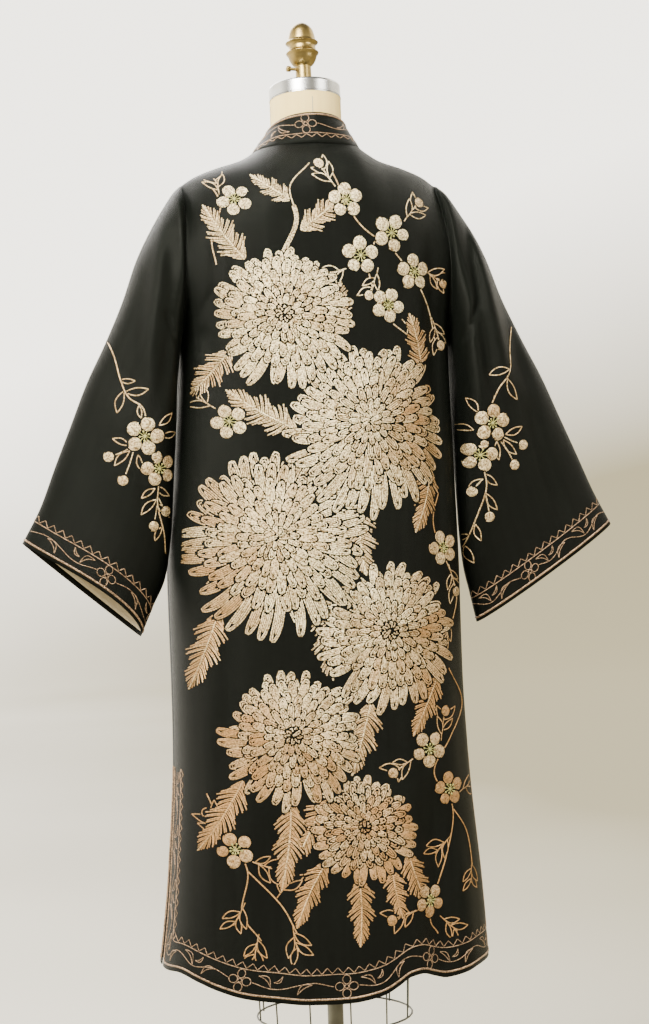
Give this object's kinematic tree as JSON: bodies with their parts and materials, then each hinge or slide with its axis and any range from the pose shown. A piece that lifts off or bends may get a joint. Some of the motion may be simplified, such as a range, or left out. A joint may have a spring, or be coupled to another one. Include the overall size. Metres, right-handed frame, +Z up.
{
  "type": "embroidered robe on dress form",
  "caption": "Open-fronted black silk robe with wide sleeves, banded borders and gold and silver embroidery, hanging on a limbless dress form with wire cage, pole and round base.",
  "frame": {"origin": "centre of the underside of the stand's round base", "axes": "+Z up along the pole; the robe's back faces +Y and its open front faces -Y, so the wearer's left sleeve points to +X"},
  "size_m": [0.9098, 0.42, 1.79],
  "materials": {
    "robe_silk": "black silk twill with a soft grey-green sheen",
    "lining_silk": "cream silk lining",
    "embroidery_silver": "couched silver-gold metallic thread",
    "embroidery_gold": "couched copper-gold metallic thread",
    "form_jersey": "beige cotton jersey stretched smooth",
    "cap_steel": "spun and brushed",
    "finial_brass": "aged lacquered brass",
    "cage_wire": "dark drawn wire",
    "pole_steel": "dull grey tube",
    "base_iron": "black enamel on cast iron"
  },
  "bodies": {
    "root": {"back": "robe_silk", "front_left": "robe_silk", "front_right": "robe_silk", "sleeve_left": "robe_silk", "sleeve_right": "robe_silk", "sleeve_lining_left": "lining_silk", "sleeve_lining_right": "lining_silk", "collar_band": "robe_silk", "torso": "form_jersey", "neck_cap": "cap_steel", "finial": "finial_brass", "thumb_screw": "finial_brass", "cage_ring_1": "cage_wire", "cage_ring_2": "cage_wire", "cage_ring_3": "cage_wire", "cage_wire_01": "cage_wire", "cage_wire_02": "cage_wire", "cage_wire_03": "cage_wire", "cage_wire_04": "cage_wire", "cage_wire_05": "cage_wire", "cage_wire_06": "cage_wire", "cage_wire_07": "cage_wire", "cage_wire_08": "cage_wire", "cage_wire_09": "cage_wire", "cage_wire_10": "cage_wire", "cage_wire_11": "cage_wire", "cage_wire_12": "cage_wire", "pole": "pole_steel", "base": "base_iron"}
  },
  "joints": []
}
